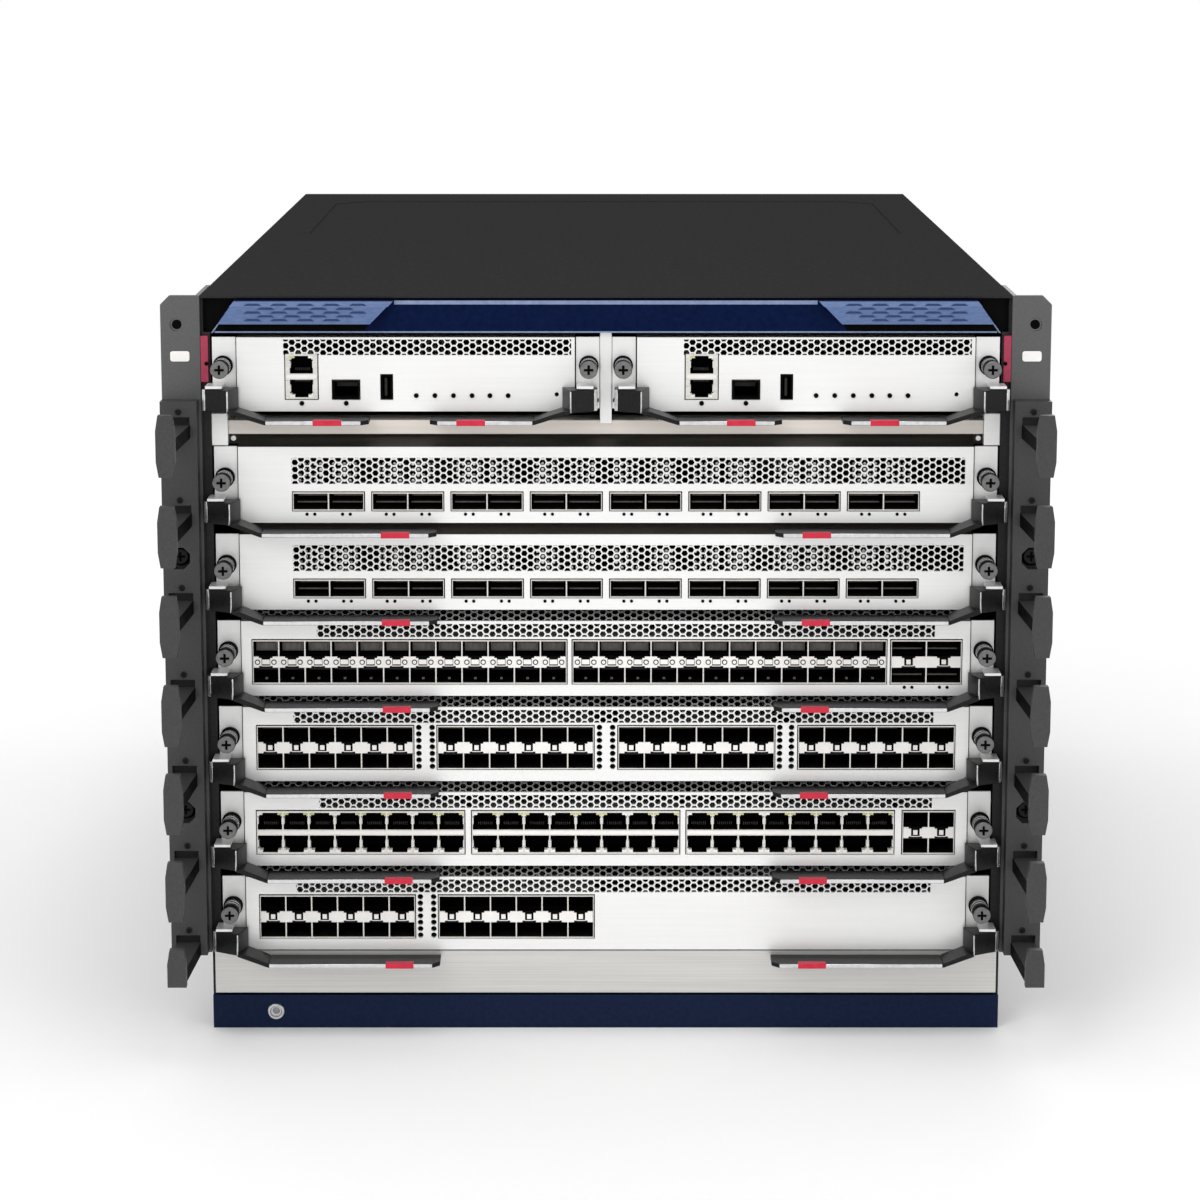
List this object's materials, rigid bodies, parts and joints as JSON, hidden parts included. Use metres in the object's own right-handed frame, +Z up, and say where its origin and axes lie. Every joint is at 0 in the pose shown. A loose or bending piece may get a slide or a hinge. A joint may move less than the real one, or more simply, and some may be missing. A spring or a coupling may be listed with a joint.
{
  "type": "modular chassis switch",
  "caption": "Rack-mount network switch chassis with pull-out control modules and line cards, ejector levers, cable guides, rear fan trays and power supplies.",
  "frame": {"origin": "on the underside of the base, at the middle of the chassis body", "axes": "+X to the right seen from the front, +Y from the front to the rear, +Z up"},
  "size_m": [0.4826, 0.7505, 0.413],
  "materials": {
    "chassis_black": "satin",
    "bare_steel": "satin",
    "panel_silver": "satin",
    "navy_trim": "satin",
    "navy_fascia": "satin",
    "nickel": "polished",
    "ear_charcoal": "matte",
    "guide_charcoal": "matte",
    "screw_black": "satin",
    "guide_steel": "satin",
    "frame_beige": "satin",
    "crimson_tab": "satin",
    "circuit_board": "satin",
    "faceplate_nickel": "satin",
    "lever_black": "satin",
    "tray_steel": "satin",
    "fan_black": "matte",
    "supply_steel": "satin"
  },
  "bodies": {
    "chassis": {"chassis_tub": "chassis_black", "top_cover": "chassis_black", "rear_frame": "chassis_black", "power_shelf": "bare_steel", "lower_panel": "panel_silver", "base_band": "navy_trim", "ground_socket": "nickel", "top_fascia": "navy_fascia", "left_rack_ear": "ear_charcoal", "right_rack_ear": "ear_charcoal", "left_cable_guide": "guide_charcoal", "right_cable_guide": "guide_charcoal", "guide_screws": "screw_black", "left_card_guides": "guide_steel", "right_card_guides": "guide_steel", "bay_frame": "frame_beige", "side_tabs": "crimson_tab", "midplane": "circuit_board"},
    "card_1": {"card_1_faceplate": "faceplate_nickel", "card_1_board": "circuit_board"},
    "card_2": {"card_2_faceplate": "faceplate_nickel", "card_2_board": "circuit_board"},
    "card_3": {"card_3_faceplate": "faceplate_nickel", "card_3_board": "circuit_board"},
    "card_4": {"card_4_faceplate": "faceplate_nickel", "card_4_board": "circuit_board"},
    "card_5": {"card_5_faceplate": "faceplate_nickel", "card_5_board": "circuit_board"},
    "card_6": {"card_6_faceplate": "faceplate_nickel", "card_6_board": "circuit_board"},
    "left_control": {"left_control_faceplate": "faceplate_nickel", "left_control_board": "circuit_board"},
    "right_control": {"right_control_faceplate": "faceplate_nickel", "right_control_board": "circuit_board"},
    "card_1_left_lever": {"card_1_left_lever": "lever_black"},
    "card_1_right_lever": {"card_1_right_lever": "lever_black"},
    "card_2_left_lever": {"card_2_left_lever": "lever_black"},
    "card_2_right_lever": {"card_2_right_lever": "lever_black"},
    "card_3_left_lever": {"card_3_left_lever": "lever_black"},
    "card_3_right_lever": {"card_3_right_lever": "lever_black"},
    "card_4_left_lever": {"card_4_left_lever": "lever_black"},
    "card_4_right_lever": {"card_4_right_lever": "lever_black"},
    "card_5_left_lever": {"card_5_left_lever": "lever_black"},
    "card_5_right_lever": {"card_5_right_lever": "lever_black"},
    "card_6_left_lever": {"card_6_left_lever": "lever_black"},
    "card_6_right_lever": {"card_6_right_lever": "lever_black"},
    "left_control_outer_lever": {"left_control_outer_lever": "lever_black"},
    "left_control_inner_lever": {"left_control_inner_lever": "lever_black"},
    "right_control_outer_lever": {"right_control_outer_lever": "lever_black"},
    "right_control_inner_lever": {"right_control_inner_lever": "lever_black"},
    "left_fan_tray": {"left_fan_tray": "tray_steel"},
    "left_fan_rotor_1": {"left_fan_rotor_1": "fan_black"},
    "left_fan_rotor_2": {"left_fan_rotor_2": "fan_black"},
    "right_fan_tray": {"right_fan_tray": "tray_steel"},
    "right_fan_rotor_1": {"right_fan_rotor_1": "fan_black"},
    "right_fan_rotor_2": {"right_fan_rotor_2": "fan_black"},
    "power_supply_1": {"power_supply_1": "supply_steel"},
    "power_supply_2": {"power_supply_2": "supply_steel"},
    "power_supply_3": {"power_supply_3": "supply_steel"},
    "power_supply_4": {"power_supply_4": "supply_steel"}
  },
  "joints": [
    {"name": "card_1_slide", "type": "slide", "parent": "chassis", "child": "card_1", "axis": [0, -1, 0], "range_m": [0, 0.3]},
    {"name": "card_2_slide", "type": "slide", "parent": "chassis", "child": "card_2", "axis": [0, -1, 0], "range_m": [0, 0.3]},
    {"name": "card_3_slide", "type": "slide", "parent": "chassis", "child": "card_3", "axis": [0, -1, 0], "range_m": [0, 0.3]},
    {"name": "card_4_slide", "type": "slide", "parent": "chassis", "child": "card_4", "axis": [0, -1, 0], "range_m": [0, 0.3]},
    {"name": "card_5_slide", "type": "slide", "parent": "chassis", "child": "card_5", "axis": [0, -1, 0], "range_m": [0, 0.3]},
    {"name": "card_6_slide", "type": "slide", "parent": "chassis", "child": "card_6", "axis": [0, -1, 0], "range_m": [0, 0.3]},
    {"name": "left_control_slide", "type": "slide", "parent": "chassis", "child": "left_control", "axis": [0, -1, 0], "range_m": [0, 0.3]},
    {"name": "right_control_slide", "type": "slide", "parent": "chassis", "child": "right_control", "axis": [0, -1, 0], "range_m": [0, 0.3]},
    {"name": "card_1_left_lever_hinge", "type": "hinge", "parent": "card_1", "child": "card_1_left_lever", "pos_m": [-0.2118, -0.3375, 0.2955], "axis": [0, 0, -1], "range_deg": [0, 55]},
    {"name": "card_1_right_lever_hinge", "type": "hinge", "parent": "card_1", "child": "card_1_right_lever", "pos_m": [0.2118, -0.3375, 0.2955], "axis": [0, 0, 1], "range_deg": [0, 55]},
    {"name": "card_2_left_lever_hinge", "type": "hinge", "parent": "card_2", "child": "card_2_left_lever", "pos_m": [-0.2118, -0.3375, 0.247], "axis": [0, 0, -1], "range_deg": [0, 55]},
    {"name": "card_2_right_lever_hinge", "type": "hinge", "parent": "card_2", "child": "card_2_right_lever", "pos_m": [0.2118, -0.3375, 0.247], "axis": [0, 0, 1], "range_deg": [0, 55]},
    {"name": "card_3_left_lever_hinge", "type": "hinge", "parent": "card_3", "child": "card_3_left_lever", "pos_m": [-0.2118, -0.3375, 0.1985], "axis": [0, 0, -1], "range_deg": [0, 55]},
    {"name": "card_3_right_lever_hinge", "type": "hinge", "parent": "card_3", "child": "card_3_right_lever", "pos_m": [0.2118, -0.3375, 0.1985], "axis": [0, 0, 1], "range_deg": [0, 55]},
    {"name": "card_4_left_lever_hinge", "type": "hinge", "parent": "card_4", "child": "card_4_left_lever", "pos_m": [-0.2118, -0.3375, 0.15], "axis": [0, 0, -1], "range_deg": [0, 55]},
    {"name": "card_4_right_lever_hinge", "type": "hinge", "parent": "card_4", "child": "card_4_right_lever", "pos_m": [0.2118, -0.3375, 0.15], "axis": [0, 0, 1], "range_deg": [0, 55]},
    {"name": "card_5_left_lever_hinge", "type": "hinge", "parent": "card_5", "child": "card_5_left_lever", "pos_m": [-0.2118, -0.3375, 0.1015], "axis": [0, 0, -1], "range_deg": [0, 55]},
    {"name": "card_5_right_lever_hinge", "type": "hinge", "parent": "card_5", "child": "card_5_right_lever", "pos_m": [0.2118, -0.3375, 0.1015], "axis": [0, 0, 1], "range_deg": [0, 55]},
    {"name": "card_6_left_lever_hinge", "type": "hinge", "parent": "card_6", "child": "card_6_left_lever", "pos_m": [-0.2118, -0.3375, 0.053], "axis": [0, 0, -1], "range_deg": [0, 55]},
    {"name": "card_6_right_lever_hinge", "type": "hinge", "parent": "card_6", "child": "card_6_right_lever", "pos_m": [0.2118, -0.3375, 0.053], "axis": [0, 0, 1], "range_deg": [0, 55]},
    {"name": "left_control_outer_lever_hinge", "type": "hinge", "parent": "left_control", "child": "left_control_outer_lever", "pos_m": [-0.2118, -0.3375, 0.3571], "axis": [0, 0, -1], "range_deg": [0, 55]},
    {"name": "left_control_inner_lever_hinge", "type": "hinge", "parent": "left_control", "child": "left_control_inner_lever", "pos_m": [-0.0113, -0.3375, 0.3571], "axis": [0, 0, 1], "range_deg": [0, 55]},
    {"name": "right_control_outer_lever_hinge", "type": "hinge", "parent": "right_control", "child": "right_control_outer_lever", "pos_m": [0.2118, -0.3375, 0.3571], "axis": [0, 0, 1], "range_deg": [0, 55]},
    {"name": "right_control_inner_lever_hinge", "type": "hinge", "parent": "right_control", "child": "right_control_inner_lever", "pos_m": [0.0113, -0.3375, 0.3571], "axis": [0, 0, -1], "range_deg": [0, 55]},
    {"name": "left_fan_tray_slide", "type": "slide", "parent": "chassis", "child": "left_fan_tray", "axis": [0, 1, 0], "range_m": [0, 0.09]},
    {"name": "left_fan_rotor_1_spin", "type": "hinge", "parent": "left_fan_tray", "child": "left_fan_rotor_1", "pos_m": [-0.10825, 0.31, 0.1357], "axis": [0, 1, 0], "continuous": true},
    {"name": "left_fan_rotor_2_spin", "type": "hinge", "parent": "left_fan_tray", "child": "left_fan_rotor_2", "pos_m": [-0.10825, 0.31, 0.3169], "axis": [0, 1, 0], "continuous": true},
    {"name": "right_fan_tray_slide", "type": "slide", "parent": "chassis", "child": "right_fan_tray", "axis": [0, 1, 0], "range_m": [0, 0.09]},
    {"name": "right_fan_rotor_1_spin", "type": "hinge", "parent": "right_fan_tray", "child": "right_fan_rotor_1", "pos_m": [0.10825, 0.31, 0.1357], "axis": [0, 1, 0], "continuous": true},
    {"name": "right_fan_rotor_2_spin", "type": "hinge", "parent": "right_fan_tray", "child": "right_fan_rotor_2", "pos_m": [0.10825, 0.31, 0.3169], "axis": [0, 1, 0], "continuous": true},
    {"name": "power_supply_1_slide", "type": "slide", "parent": "chassis", "child": "power_supply_1", "axis": [0, 1, 0], "range_m": [0, 0.2]},
    {"name": "power_supply_2_slide", "type": "slide", "parent": "chassis", "child": "power_supply_2", "axis": [0, 1, 0], "range_m": [0, 0.2]},
    {"name": "power_supply_3_slide", "type": "slide", "parent": "chassis", "child": "power_supply_3", "axis": [0, 1, 0], "range_m": [0, 0.2]},
    {"name": "power_supply_4_slide", "type": "slide", "parent": "chassis", "child": "power_supply_4", "axis": [0, 1, 0], "range_m": [0, 0.2]}
  ]
}
